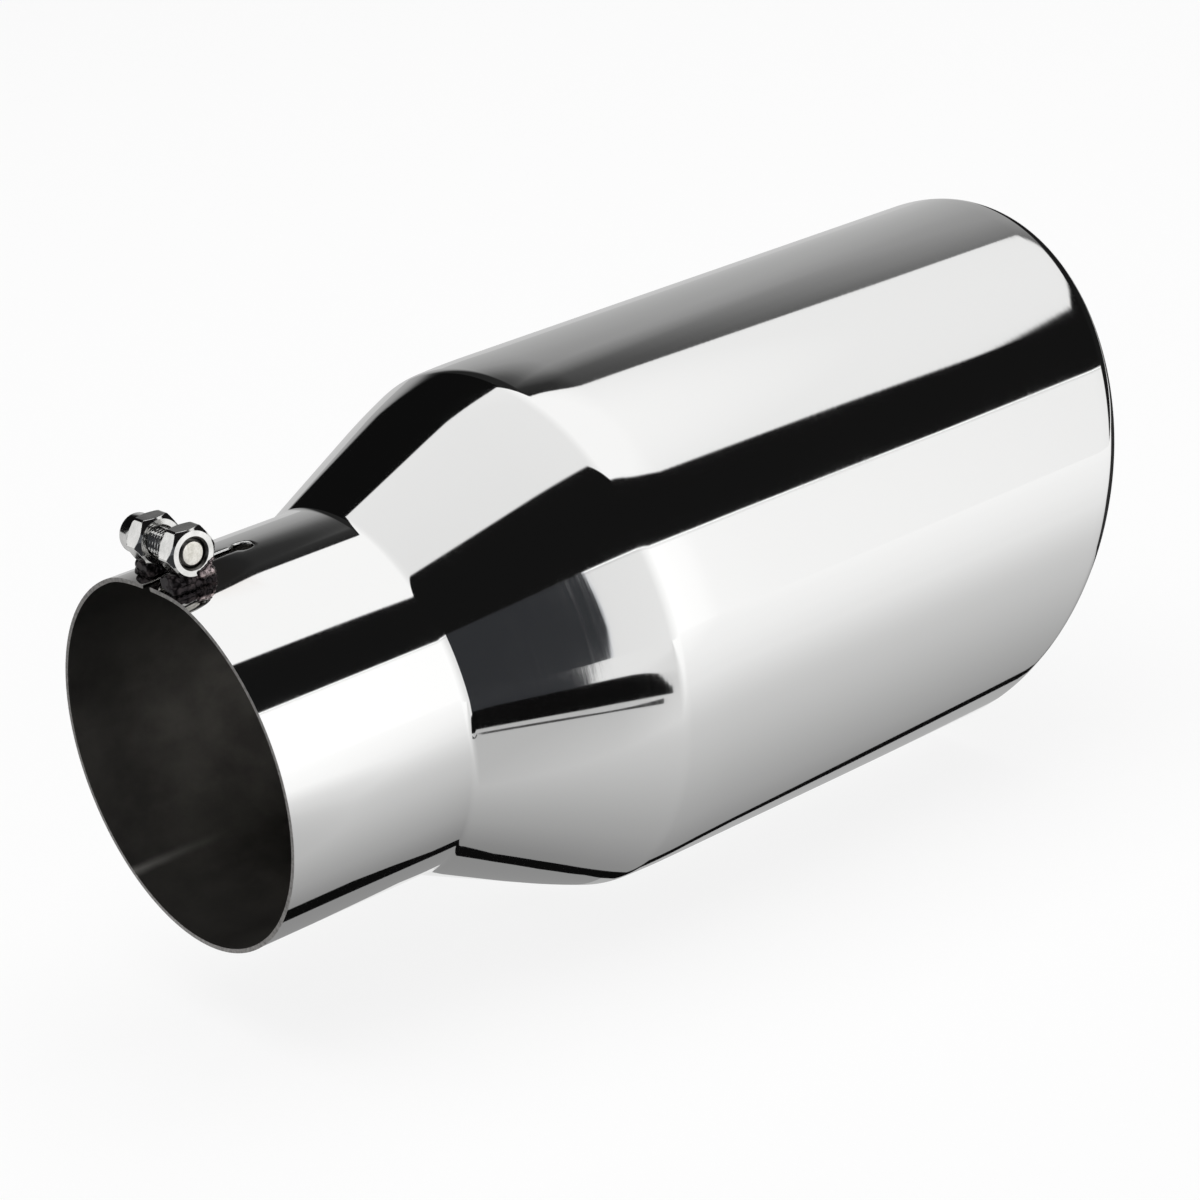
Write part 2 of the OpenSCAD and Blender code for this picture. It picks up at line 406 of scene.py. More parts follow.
def screw_end(name):
    """The screw's end face, cream and slightly blotched."""
    m, k, p = material(name)
    p.inputs["Metallic"].default_value = 0.85
    n = noise_tex(k, texcoord(k), 900.0, 4.0, 0.7)
    r = k.t.nodes.new("ShaderNodeValToRGB")
    k.put(r.inputs["Fac"], n)
    r.color_ramp.elements[0].position = 0.34
    r.color_ramp.elements[0].color = (0.66, 0.64, 0.57, 1)
    r.color_ramp.elements[1].position = 0.62
    r.color_ramp.elements[1].color = (0.92, 0.90, 0.84, 1)
    k.put(p.inputs["Base Color"], r.outputs["Color"])
    p.inputs["Roughness"].default_value = 0.34
    b = k.t.nodes.new("ShaderNodeBump")
    b.inputs["Strength"].default_value = 0.3
    b.inputs["Distance"].default_value = 0.0001
    k.put(b.inputs["Height"], n)
    k.t.links.new(b.outputs[0], p.inputs["Normal"])
    return m


def weld_metal(name):
    """Heat tint in pink and straw, shown only where the bead faces outwards as a painted highlight; between the nuts
    and on the far bead darkened as painted shade.
    """
    m, k, p = material(name)
    p.inputs["Metallic"].default_value = 1.0
    tc = k.t.nodes.new("ShaderNodeTexCoord")
    sep = k.t.nodes.new("ShaderNodeSeparateXYZ")
    k.t.links.new(tc.outputs["Object"], sep.inputs[0])
    x, y, z = sep.outputs
    v = texcoord(k, (1, 1, 1))
    n = noise_tex(k, v, 170.0, 4.0, 0.55)
    fine = noise_tex(k, v, 1100.0, 3.0)
    # painted light: only the near bead's front, outward, right-hand face gets the light pink and straw tint;
    # everywhere else the colour is pushed dark as painted shade
    outer = k.mul(k.step(k.mul(y, -1.0), 0.0124, 0.0008), k.step(z, 0.0532, 0.0006))
    right = k.step(x, 0.0082, 0.0020)
    f = k.add(n, k.math("MULTIPLY_ADD", k.mul(outer, right), 0.40, -0.20))
    r = k.t.nodes.new("ShaderNodeValToRGB")
    k.put(r.inputs["Fac"], f)
    e = r.color_ramp.elements
    e[0].position = 0.26
    e[0].color = (0.02, 0.018, 0.02, 1)
    e[1].position = 0.44
    e[1].color = (0.05, 0.042, 0.044, 1)
    for at, c in ((0.55, (0.18, 0.145, 0.15, 1)), (0.68, (0.56, 0.47, 0.47, 1)), (0.86, (0.80, 0.75, 0.71, 1))):
        x_ = e.new(at)
        x_.color = c
    k.put(p.inputs["Base Color"], r.outputs["Color"])
    k.put(p.inputs["Roughness"], k.curve(n, [(0.3, 0.20), (0.7, 0.38)]))
    b = k.t.nodes.new("ShaderNodeBump")
    b.inputs["Strength"].default_value = 0.07
    b.inputs["Distance"].default_value = 0.00012
    k.put(b.inputs["Height"], fine)
    k.t.links.new(b.outputs[0], p.inputs["Normal"])
    return m


def seam_metal(name):
    m, k, p = material(name)
    p.inputs["Metallic"].default_value = 1.0
    n = noise_tex(k, texcoord(k), 220.0, 3.0)
    r = k.t.nodes.new("ShaderNodeValToRGB")
    k.put(r.inputs["Fac"], n)
    r.color_ramp.elements[0].position = 0.3
    r.color_ramp.elements[0].color = (0.05, 0.045, 0.04, 1)
    r.color_ramp.elements[1].position = 0.75
    r.color_ramp.elements[1].color = (0.18, 0.155, 0.13, 1)
    k.put(p.inputs["Base Color"], r.outputs["Color"])
    p.inputs["Roughness"].default_value = 0.45
    return m


MIRROR = polished("polished_sheet")
INSIDE = dull_inside("dull_inside")
EDGE = cut_edge("cut_edge")
CUT = cut_metal("slot_cut")
SHADED_THREAD = shaded_thread_metal("thread_steel_painted_shade")
END = screw_end("screw_end")
STEEL = bright_steel("nut_steel")
WELD = weld_metal("nut_weld")
SEAM = seam_metal("seam_bead")
SCREW = bright_steel("screw_steel")

# ---------------------------------------------------------------- the shell
SIDES = 360


def cone_section():
    outer = [(p[0], p[1], 0) for p in PROFILE[N_BEND:N_SEAM + 1]]
    ins = [inner(p) for p in PROFILE[N_BEND:N_SEAM + 1:2]]
    last = PROFILE[N_SEAM]
    end = (last[0], last[1] - WALL / math.cos(last[2]), 0)
    ins = [(p[0], p[1], 0) for p in ins if p[0] < last[0] - 0.05]
    return outer + [end] + ins[::-1], len(outer), 1 + len(ins)


def barrel_section():
    wall = []
    for p in PROFILE[N_SEAM:]:
        wall.append((p[0], p[1], 0.0, p[2]))
    x0 = PROFILE[-1][0]
    n = 44
    for j in range(1, n):
        t = j / n
        wall.append((x0 + (ROLL_X - x0) * t, BARREL_RO, t, 0.0))
    outer = [(w[0], w[1], w[2]) for w in wall]
    lip_n = 40
    mid = BARREL_RO - LIP_R
    for j in range(lip_n + 1):
        a = math.pi * j / lip_n
        outer.append((ROLL_X + LIP_R * math.sin(a), mid + LIP_R * math.cos(a), 1.0))
    outer.append((ROLL_X - LIP_RETURN * 0.5, mid - LIP_R, 1.0))
    outer.append((ROLL_X - LIP_RETURN, mid - LIP_R, 1.0))
    ins = [(ROLL_X - LIP_RETURN, mid - LIP_R + WALL, 1.0),
           (ROLL_X - LIP_RETURN * 0.5, mid - LIP_R + WALL, 1.0)]
    for j in range(20, -1, -1):
        a = math.pi * j / 20
        r = LIP_R - WALL
        ins.append((ROLL_X + r * math.sin(a), mid + r * math.cos(a), 1.0))
    for w in wall[::-2]:
        ins.append((w[0], w[1] - WALL / math.cos(w[3]), w[2]))
    if len(wall) % 2 == 0:
        w = wall[0]
        ins.append((w[0], w[1] - WALL / math.cos(w[3]), w[2]))
    return outer + ins, len(outer), len(ins)


sec, n_out, n_in = cone_section()
cone = ring_shell("cone_shell", sec, SIDES, [MIRROR, INSIDE],
                  lambda j: 0 if j < n_out - 1 else 1)
sec, n_out_b, n_in_b = barrel_section()
n_wall_b = len(sec)
barrel = ring_shell("barrel_shell", sec, SIDES, [MIRROR, INSIDE],
                    lambda j: 0 if j < n_out_b - 1 else 1)
for ob in (cone, barrel):
    sharp_by_angle(ob, 40)


# The neck is a grid with the slot and its round end cut out of it
def neck_mesh():
    from mathutils.geometry import delaunay_2d_cdt
    half = 8.0            # degrees each side of the slot that are triangulated
    x_cut = 38.0
    y_b = NECK_RO * math.sin(math.radians(half))
    xs_slot = [0.0, 0.15, 0.5] + [float(v) for v in range(1, 39)]
    # columns round the tube outside the triangulated part
    cols = [half + (360 - 2 * half) * i / 344 for i in range(345)]
    bend = [(p[0], p[1], p[2]) for p in PROFILE[:N_BEND + 1]]
    xs_rest = [float(v) for v in range(40, 56, 2)] + [56.3]
    rings = [(x, NECK_RO, 0.0) for x in xs_slot] + [(x, NECK_RO, 0.0) for x in xs_rest] + bend
    mid_cols = [-half + 2 * half * i / 16 for i in range(1, 16)]

    def place(x, ang, r):
        a = math.radians(ang)
        return (x, r * math.sin(a), r * math.cos(a))

    verts, faces, idx = [], [], []

    def surface(side):
        """side 0 is the outside, 1 the inside."""
        base = len(verts)
        grid = {}
        for i, ring in enumerate(rings):
            p = ring if side == 0 else inner(ring)
            for j, c in enumerate(cols):
                if side == 1:
                    edge_in = math.degrees(math.asin(y_b / NECK_RI))
                    if c <= 180:
                        c2 = edge_in + (c - half) * (180 - edge_in) / (180 - half)
                    else:
                        c2 = 360 - (edge_in + (360 - half - c) * (180 - edge_in) / (180 - half))
                else:
                    c2 = c
                grid[i, j] = len(verts)
                verts.append(place(p[0], c2, p[1]))
        n_slot = len(xs_slot)
        for i in range(len(rings) - 1):
            for j in range(len(cols) - 1):
                f = (grid[i, j], grid[i, j + 1], grid[i + 1, j + 1], grid[i + 1, j])
                faces.append(f if side == 0 else f[::-1])
                idx.append(side)
        # the strip behind the slot, from x_cut on, joins both ends of the columns
        mid = {}
        for i in range(n_slot - 1, len(rings)):
            p = rings[i] if side == 0 else inner(rings[i])
            mid[i, 0] = grid[i, len(cols) - 1]
            r = p[1]
            for j, c in enumerate(mid_cols):
                y = NECK_RO * math.sin(math.radians(c))
                ang = math.degrees(math.asin(y / (NECK_RO if side == 0 else NECK_RI)))
                mid[i, j + 1] = len(verts)
                verts.append(place(p[0], ang, r))
            mid[i, len(mid_cols) + 1] = grid[i, 0]
        for i in range(n_slot - 1, len(rings) - 1):
            for j in range(len(mid_cols) + 1):
                f = (mid[i, j], mid[i, j + 1], mid[i + 1, j + 1], mid[i + 1, j])
                faces.append(f if side == 0 else f[::-1])
                idx.append(side)
        return grid, mid

    grids = [surface(0), surface(1)]
    n_slot = len(xs_slot)

    # outline of the slot with its round end, as (x, y), from +y to -y. The cut's
    # edges are rounded, so on the sheet's faces it is a little wider
    soft = 0.42
    w = SLOT_W / 2 + soft
    r = HOLE_D / 2 + soft
    a0 = math.asin(w / r)
    slot_xs = [0.0, 0.15, 0.5] + [float(v) for v in range(1, 28)]
    x_join = HOLE_X - r * math.cos(a0)
    slot_xs = [x for x in slot_xs if x < x_join - 0.3]
    outline = [(x, w) for x in slot_xs]
    towards = [(0.0, -1.0)] * len(slot_xs)
    n_arc = 44
    for i in range(n_arc + 1):
        a = (math.pi - a0) - (2 * math.pi - 2 * a0) * i / n_arc
        outline.append((HOLE_X + r * math.cos(a), r * math.sin(a)))
        towards.append((-math.cos(a), -math.sin(a)))
    outline += [(x, -w) for x in slot_xs[::-1]]
    towards += [(0.0, 1.0)] * len(slot_xs)

    edge_in = y_b
    # outer boundary of the triangulated patch, from -y at x=0 round to +y at x=0
    bound = [(x, -y_b) for x in xs_slot]
    bound += [(x_cut, NECK_RO * math.sin(math.radians(c))) for c in mid_cols]
    bound += [(x, y_b) for x in xs_slot[::-1]]
    ymids = [(0.0, y) for y in (6.2, 5.0, 3.9, 2.9)]
    ymids2 = [(0.0, -y) for y in (2.9, 3.9, 5.0, 6.2)]
    loop = bound + ymids + outline + ymids2
    pts = [Vector(p) for p in loop]
    inner_pts = []
    for gx in np.arange(0.9, 37.6, 0.9):
        for gy in np.arange(-6.6, 6.7, 0.9):
            q = (float(gx), float(gy))
            inside_slot = (abs(q[1]) < w + 0.45 and q[0] < HOLE_X) or math.hypot(q[0] - HOLE_X, q[1]) < r + 0.45
            if inside_slot or abs(q[1]) > y_b - 0.4 or q[0] > x_cut - 0.4:
                continue
            inner_pts.append(Vector(q))
    n_loop = len(pts)
    edges = [(i, (i + 1) % n_loop) for i in range(n_loop)]
    res = delaunay_2d_cdt(pts + inner_pts, edges, [list(range(n_loop))], 1, 1e-6)
    vco, _, tris, orig = res[0], res[1], res[2], res[3]
    # ids on each surface
    ids = [[], []]
    for side in (0, 1):
        R = NECK_RO if side == 0 else NECK_RI
        grid, mid = grids[side]
        for k, co in enumerate(vco):
            o = orig[k][0] if orig[k] else -1
            if 0 <= o < n_slot:
                ids[side].append(grid[o, len(cols) - 1])
            elif n_slot <= o < n_slot + len(mid_cols):
                ids[side].append(mid[n_slot - 1, o - n_slot + 1])
            elif n_slot + len(mid_cols) <= o < len(bound):
                ids[side].append(grid[n_slot - 1 - (o - n_slot - len(mid_cols)), 0])
            else:
                ids[side].append(len(verts))
                verts.append((co[0], co[1], math.sqrt(R * R - co[1] ** 2)))
    for t in tris:
        a, b, c = (vco[v] for v in t)
        cross = (b[0] - a[0]) * (c[1] - a[1]) - (b[1] - a[1]) * (c[0] - a[0])
        if abs(cross) < 1e-9:
            continue
        t = tuple(t) if cross > 0 else tuple(t)[::-1]
        faces.append(tuple(ids[0][v] for v in t))
        idx.append(0)
        faces.append(tuple(ids[1][v] for v in t[::-1]))
        idx.append(1)
    # cut faces: rim at x = 0, slot and hole, and the seam at the flared end
    where = {}
    for k in range(len(vco)):
        for o in orig[k]:
            where.setdefault(o, k)
    first_cut = len(bound) + len(ymids)
    last_cut = first_cut + len(outline) - 1
    for chain in ([len(bound) - 1] + list(range(len(bound), first_cut + 1)),
                  list(range(last_cut, n_loop)) + [0]):
        chain = [where[o] for o in chain]
        for a, b in zip(chain, chain[1:]):
            faces.append((ids[0][a], ids[0][b], ids[1][b], ids[1][a]))
            idx.append(2)
    # the rounded cut itself
    turns = [math.radians(q) for q in (22.5, 45, 67.5, 90)]
    section = [(soft * math.sin(q), soft * (1 - math.cos(q))) for q in turns]
    section += [(a, WALL - b) for a, b in section[::-1]]
    strip = []
    for j, (pt, to) in enumerate(zip(outline, towards)):
        row = [ids[0][where[first_cut + j]]]
        for off, drop in section:
            R = NECK_RO - drop
            px, py = pt[0] + to[0] * off, pt[1] + to[1] * off
            row.append(len(verts))
            verts.append((px, py, math.sqrt(R * R - py * py)))
        row.append(ids[1][where[first_cut + j]])
        strip.append(row)
    for a, b in zip(strip, strip[1:]):
        for j in range(len(a) - 1):
            faces.append((a[j], b[j], b[j + 1], a[j + 1]))
            idx.append(3)
    for row in (strip[0], strip[-1][::-1]):
        faces.append(tuple(row))
        idx.append(2)
    g0, g1 = grids[0][0], grids[1][0]
    for j in range(len(cols) - 1):
        faces.append((g0[0, j + 1], g0[0, j], g1[0, j], g1[0, j + 1]))
        idx.append(2)
    last = len(rings) - 1
    for j in range(len(cols) - 1):
        faces.append((g0[last, j], g0[last, j + 1], g1[last, j + 1], g1[last, j]))
        idx.append(1)
    m0, m1 = grids[0][1], grids[1][1]
    for j in range(len(mid_cols) + 1):
        faces.append((m0[last, j], m0[last, j + 1], m1[last, j + 1], m1[last, j]))
        idx.append(1)
    V = np.array(verts) * MM
    return V, faces, idx


V, F, I = neck_mesh()
# clamping pulls the rim in beside the slot
_x, _y, _z = V[:, 0] / MM, V[:, 1] / MM, V[:, 2] / MM
_turn = np.degrees(np.arctan2(_y, _z))
_along = np.clip(_x / 27.0, 0, 1)
_fade = 1 - _along * _along * (3 - 2 * _along)
_side = np.clip(1 - (_turn / 21.0) ** 2, 0, 1) ** 2
_rad = np.hypot(_y, _z)
_k = 1 - 1.2 * _fade * _side / _rad
V[:, 1] *= _k
V[:, 2] *= _k
neck = make("neck_shell", V, F, [MIRROR, INSIDE, EDGE, CUT], I)
bm = bmesh.new()
bm.from_mesh(neck.data)
bmesh.ops.remove_doubles(bm, verts=bm.verts, dist=1e-7)
bmesh.ops.recalc_face_normals(bm, faces=bm.faces)
bm.to_mesh(neck.data)
bm.free()
sharp_by_angle(neck, 35)


# ---------------------------------------------------------------- fasteners
def revolve_y(profile, sides, cx, cz, close=True):
    """Rings of (y, radius) about the screw's axis. Returns verts and faces."""
    verts, faces = [], []
    for y, r in profile:
        for i in range(sides):
            a = 2 * math.pi * i / sides
            verts.append((cx + r * math.cos(a), y, cz + r * math.sin(a)))
    for j in range(len(profile) - 1):
        for i in range(sides):
            i2 = (i + 1) % sides
            faces.append((j * sides + i, j * sides + i2, (j + 1) * sides + i2, (j + 1) * sides + i))
    return verts, faces


def hex_radius(a, af):
    """Distance from the centre to a regular hexagon's side, corners on X."""
    s = math.pi / 3
    b = (a + s / 2) % s - s / 2          # from the nearest corner
    b = s / 2 - abs(b)                    # from the middle of the flat
    return af / 2 / math.cos(b)


def nut(name, y0, h=6.5, af=13.0):
    """Hex nut with chamfered faces, slightly rounded corners and a countersunk, threaded bore."""
    sides = 192
    corner = af / 2 / math.cos(math.pi / 6)
    face_r = af / 2 - 0.5
    verts, faces = [], []

    def ring(y, f):
        base = len(verts)
        for i in range(sides):
            a = 2 * math.pi * i / sides
            r = f(a)
            verts.append((SCREW_X + r * math.cos(a), y, SCREW_Z + r * math.sin(a)))
        return base

    def flat(a):
        r = hex_radius(a, af)
        return min(r, corner - 0.10)

    def limit(dy):
        # the chamfer's cone at this depth below a face
        return face_r + dy

    rows = []
    depth = [0.0, 0.02, 0.12, 0.25, 0.38, 0.48, 0.5, 0.56, 0.65, 0.75, 0.85, 0.95, 1.05, 1.15, 1.25, 1.32, 1.4]
    bore = 4.05
    mouth = 4.55
    rows.append(ring(y0 + 0.75, lambda a: bore))
    rows.append(ring(y0 + 0.03, lambda a: mouth - 0.03))
    rows.append(ring(y0, lambda a: mouth))
    rows.append(ring(y0, lambda a: face_r - 0.12))
    for d in depth:
        rows.append(ring(y0 + d, lambda a, d=d: min(flat(a), limit(d))))
    for t in (0.27, 0.4, 0.6, 0.73):
        rows.append(ring(y0 + h * t, flat))
    for d in depth[::-1]:
        rows.append(ring(y0 + h - d, lambda a, d=d: min(flat(a), limit(d))))
    rows.append(ring(y0 + h, lambda a: face_r - 0.12))
    rows.append(ring(y0 + h, lambda a: mouth))
    rows.append(ring(y0 + h - 0.03, lambda a: mouth - 0.03))
    rows.append(ring(y0 + h - 0.75, lambda a: bore))
    n_body = len(rows)
    # the bore's thread, as rings that follow the helix
    pitch = 1.25
    n_b = 40
    for j in range(1, n_b):
        y = y0 + h - 0.75 - (h - 1.5) * j / n_b

        def thread(a, y=y):
            s = (y / pitch - a / (2 * math.pi)) % 1.0
            tri = 1 - abs(2 * s - 1)
            fade = min(1.0, (y - y0 - 0.7) / 0.5, (y0 + h - 0.7 - y) / 0.5)
            return bore + 0.35 * tri * max(0.0, fade)

        rows.append(ring(y, thread))
    idx = []
    for j, (a, b) in enumerate(zip(rows, rows[1:] + rows[:1])):
        for i in range(sides):
            i2 = (i + 1) % sides
            faces.append((a + i, a + i2, b + i2, b + i))
            # the countersink and bore take the dark thread colour, which is painted shade
            idx.append(1 if j < 1 or j >= n_body - 2 else 0)
    V = np.array(verts) * MM
    ob = make(name, V, faces, [STEEL, SHADED_THREAD], idx)
    tidy(ob)
    sharp_by_angle(ob, 24)
    return ob


def tidy(ob, dist=1e-7):
    bm = bmesh.new()
    bm.from_mesh(ob.data)
    bmesh.ops.remove_doubles(bm, verts=bm.verts, dist=dist)
    bmesh.ops.recalc_face_normals(bm, faces=bm.faces)
    bm.to_mesh(ob.data)
    bm.free()
    ob.data.update()


near_nut = nut("near_nut_mesh", -13.2)
far_nut = nut("far_nut_mesh", 1.8)


def screw_mesh():
    sides = 96
    pitch, major = 1.25, 4.0
    y_end, y_head = -12.8, 8.3
    head_r, head_h, sock_af, sock_d = 5.4, 5.5, 5.0, 3.0
    verts, faces = [], []

    def ring(y, f):
        base = len(verts)
        for i in range(sides):
            a = 2 * math.pi * i / sides
            r = f(a) if callable(f) else f
            verts.append((SCREW_X + r * math.cos(a), y, SCREW_Z + r * math.sin(a)))
        return base

    rows = [ring(y_end, 0.01), ring(y_end, 1.6), ring(y_end, 2.9), ring(y_end + 0.04, 3.05), ring(y_end + 0.15, 3.15)]
    y = y_end + 0.25
    while y < y_head - 0.05:
        def thread(a, y=y):
            s = (y / pitch - a / (2 * math.pi)) % 1.0
            tri = 1 - abs(2 * s - 1)
            # flat crests and roots, 60 degree flanks
            prof = min(1.0, max(0.0, (tri - 0.1) / 0.76))
            start = min(1.0, (y - y_end) / 0.95)
            depth = 0.72
            r_full = major - depth + depth * prof
            cap = 3.1 + (major - 3.1) * start
            return min(r_full, cap) if start < 1 else r_full
        rows.append(ring(y, thread))
        y += 0.104
    rows.append(ring(y_head, 3.9))
    rows.append(ring(y_head, head_r - 0.15))
    rows.append(ring(y_head + 0.15, head_r))
    rows.append(ring(y_head + head_h - 0.7, head_r))
    rows.append(ring(y_head + head_h - 0.45, head_r - 0.08))
    rows.append(ring(y_head + head_h - 0.2, head_r - 0.3))
    rows.append(ring(y_head + head_h - 0.05, head_r - 0.6))
    rows.append(ring(y_head + head_h, head_r - 0.9))
    top = y_head + head_h
    rows.append(ring(top, lambda a: hex_radius(a, sock_af) + 0.2))
    rows.append(ring(top - 0.15, lambda a: hex_radius(a, sock_af)))
    rows.append(ring(top - sock_d, lambda a: hex_radius(a, sock_af)))
    rows.append(ring(top - sock_d, lambda a: 1.6))
    rows.append(ring(top - sock_d, 0.01))
    idx = []
    for j, (a, b) in enumerate(zip(rows, rows[1:])):
        for i in range(sides):
            i2 = (i + 1) % sides
            faces.append((a + i, a + i2, b + i2, b + i))
            # the screw's first threads, inside the nut's mouth, take the dark thread colour, which is painted shade
            idx.append(1 if j < 3 else 2 if j < 13 else 0)
    for base, kind in ((rows[0], 1), (rows[-1], 0)):
        faces.append(tuple(base + i for i in range(sides)))
        idx.append(kind)
    V = np.array(verts) * MM
    ob = make("clamp_screw_mesh", V, faces, [SCREW, END, SHADED_THREAD], idx)
    tidy(ob)
    sharp_by_angle(ob, 38)
    return ob


screw = screw_mesh()


# ---------------------------------------------------------------- nut welds
def dent(x, y, z):
    """How far the sheet is pulled in at a place, in mm, with the same rule as the neck."""
    along = min(1.0, max(0.0, x / 27.0))
    fade = 1 - along * along * (3 - 2 * along)
    turn = math.degrees(math.atan2(y, z))
    side = max(0.0, 1 - (turn / 21.0) ** 2) ** 2
    return 1.2 * fade * side


def weld(name, balls, seed, low_x, y_side):
    """A bead built of overlapping drops, melted together, with ripples and pits."""
    bm = bmesh.new()
    for x, y, z, r in balls:
        bmesh.ops.create_icosphere(bm, subdivisions=3, radius=r * MM,
                                   matrix=Matrix.Translation((x * MM, y * MM, z * MM)))
    me = bpy.data.meshes.new(name + "_drops")
    bm.to_mesh(me)
    bm.free()
    ob = bpy.data.objects.new(name + "_drops", me)
    bpy.context.scene.collection.objects.link(ob)
    md = ob.modifiers.new("melt", "REMESH")
    md.mode = "VOXEL"
    md.voxel_size = 0.0002
    md.use_smooth_shade = True
    sm = ob.modifiers.new("even", "SMOOTH")
    sm.factor = 0.5
    sm.iterations = 14
    dg = bpy.context.evaluated_depsgraph_get()
    out = bpy.data.meshes.new_from_object(ob.evaluated_get(dg))
    bpy.data.objects.remove(ob)
    bpy.data.meshes.remove(me)
    out.name = name
    n = len(out.vertices)
    co = np.zeros(n * 3)
    out.vertices.foreach_get("co", co)
    co = co.reshape(-1, 3) / MM
    no = np.zeros(n * 3)
    out.vertices.foreach_get("normal", no)
    no = no.reshape(-1, 3)
    for i in range(n):
        c = co[i]
        lump = noise.noise(Vector((c[0] * 0.42 + seed, c[1] * 0.42, c[2] * 0.42))) * 0.30
        lump += noise.noise(Vector((c[0] * 1.0, c[1] * 1.0 + seed, c[2] * 1.0))) * 0.05
        lump += 0.04 * math.sin(3.4 * c[0] + 1.2 * math.sin(0.8 * c[1] + seed))
        pit = noise.noise(Vector((c[0] * 0.8 - seed, c[1] * 0.8, c[2] * 0.8 + seed)))
        if pit > 0.38:
            lump -= (pit - 0.38) * 0.8
        c = c + no[i] * lump
        # keep off the slot and the rim, and end inside the sheet
        c[0] = max(c[0], low_x)
        c[1] = max(c[1], 1.75) if y_side > 0 else min(c[1], -3.2)
        radius = math.hypot(c[1], c[2])
        floor_r = NECK_RO - 0.6 - dent(c[0], c[1], c[2])
        if radius < floor_r:
            c[1] *= floor_r / radius
            c[2] *= floor_r / radius
        co[i] = c
    out.vertices.foreach_set("co", (co * MM).reshape(-1))
    out.materials.clear()
    out.materials.append(WELD)
    out.polygons.foreach_set("use_smooth", np.ones(len(out.polygons), bool))
    out.update()
    new = bpy.data.objects.new(name, out)
    bpy.context.scene.collection.objects.link(new)
    return new


def on_neck(y):
    return math.sqrt(NECK_RO ** 2 - y * y)


drops = []
for bx in (1.9, 3.4, 5.0, 6.6, 8.2, 9.8, 11.4, 12.9):
    for by in (-11.5, -10.2, -8.8, -7.4):
        drops.append((bx, by, on_neck(by) + 0.7, 1.5))
drops += [(1.9, -7.6, 53.7, 1.7), (1.8, -9.4, 54.1, 1.8), (2.2, -11.0, 54.1, 1.7), (3.2, -12.0, 53.3, 1.3),
          (5.0, -12.2, 53.6, 1.3), (6.8, -12.3, 53.6, 1.2), (8.9, -12.8, 54.2, 1.2), (10.5, -13.0, 54.5, 1.3),
          (12.1, -12.8, 54.6, 1.2), (9.4, -12.4, 53.2, 1.1), (11.2, -12.5, 53.3, 1.2), (12.8, -12.0, 53.4, 1.2),
          (13.2, -10.8, 53.2, 1.4), (13.3, -9.2, 53.2, 1.4),
          (8.4, -13.2, 54.7, 0.75), (9.6, -13.35, 55.0, 0.85), (10.9, -13.35, 55.6, 0.85), (12.0, -13.25, 56.4, 0.8),
          (12.8, -12.9, 57.2, 0.7)]
near_weld = weld("near_nut_weld_mesh", drops, 3.7, 0.5, -1)
drops = []
for bx in (4.4, 5.9, 7.4, 8.9, 10.4, 11.9, 13.0):
    for by in (3.6, 5.4, 7.2, 8.8):
        drops.append((bx, by, on_neck(by) + 0.5, 1.7))
drops += [(3.9, 3.5, 54.0, 1.8), (3.8, 5.4, 54.2, 1.9), (4.0, 7.5, 54.0, 1.8), (7.6, 9.9, 51.9, 1.5), (10.4, 9.8, 51.9, 1.5)]
far_weld = weld("far_nut_weld_mesh", drops, 9.1, 2.4, 1)


# ---------------------------------------------------------------- seam beads
def bead(name, s, slope, half, height, floor_r):
    """A rippled bead on the inside of a seam at s = (x, radius)."""
    sides, n = 720, 9
    verts, faces = [], []
    for i in range(sides):
        a = 2 * math.pi * i / sides
        rip = 0.10 * math.sin(a * 150) + 0.12 * noise.noise(Vector((math.cos(a) * 6, math.sin(a) * 6, 1.3)))
        wob = 0.25 * noise.noise(Vector((math.cos(a) * 4, math.sin(a) * 4, 7.7)))
        for j in range(n):
            t = -1 + 2 * j / (n - 1)
            x = s[0] + t * half + wob * (1 - t * t)
            surf = s[1] + (x - s[0]) * slope(x)
            h = (height + rip * height) * (1 - t * t)
            r = max(floor_r, surf - h) + 0.02
            verts.append((x, r * math.sin(a), r * math.cos(a)))
        for t in (1.0, -1.0):
            x = s[0] + t * half
            r = s[1] + (x - s[0]) * slope(x) + 0.05
            verts.append((x, r * math.sin(a), r * math.cos(a)))
    m = n + 2
    for i in range(sides):
        i2 = (i + 1) % sides
        for j in range(m):
            j2 = (j + 1) % m
            faces.append((i * m + j, i2 * m + j, i2 * m + j2, i * m + j2))
    ob = make(name, np.array(verts) * MM, faces, [SEAM])
    tidy(ob, 1e-8)
    return ob


p = inner(PROFILE[N_BEND])
neck_bead = bead("neck_seam_mesh", (p[0], p[1]), lambda x: 0.4536 if x > p[0] else 0.335, 1.35, 0.55, 51.06)
q = PROFILE[N_SEAM]
rb = q[1] - WALL / math.cos(q[2])
barrel_bead = bead("barrel_seam_mesh", (q[0] + 0.3, rb - 0.03), lambda x: 0.06 if x > q[0] else 0.2, 1.25, 0.7, 60.0)

for ob, node, slot in ((neck, "inlet_neck", "polished_sheet"), (cone, "reducer_cone", "polished_sheet"),
                       (barrel, "outlet_barrel", "polished_sheet"), (neck_bead, "neck_seam_weld", "seam_bead"),
                       (barrel_bead, "barrel_seam_weld", "seam_bead"), (near_nut, "near_nut", "nut_steel"),
                       (far_nut, "far_nut", "nut_steel"), (near_weld, "near_nut_weld", "nut_weld"),
                       (far_weld, "far_nut_weld", "nut_weld"), (screw, "clamp_screw", "screw_steel")):
    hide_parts(node)
    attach(ob, "root")


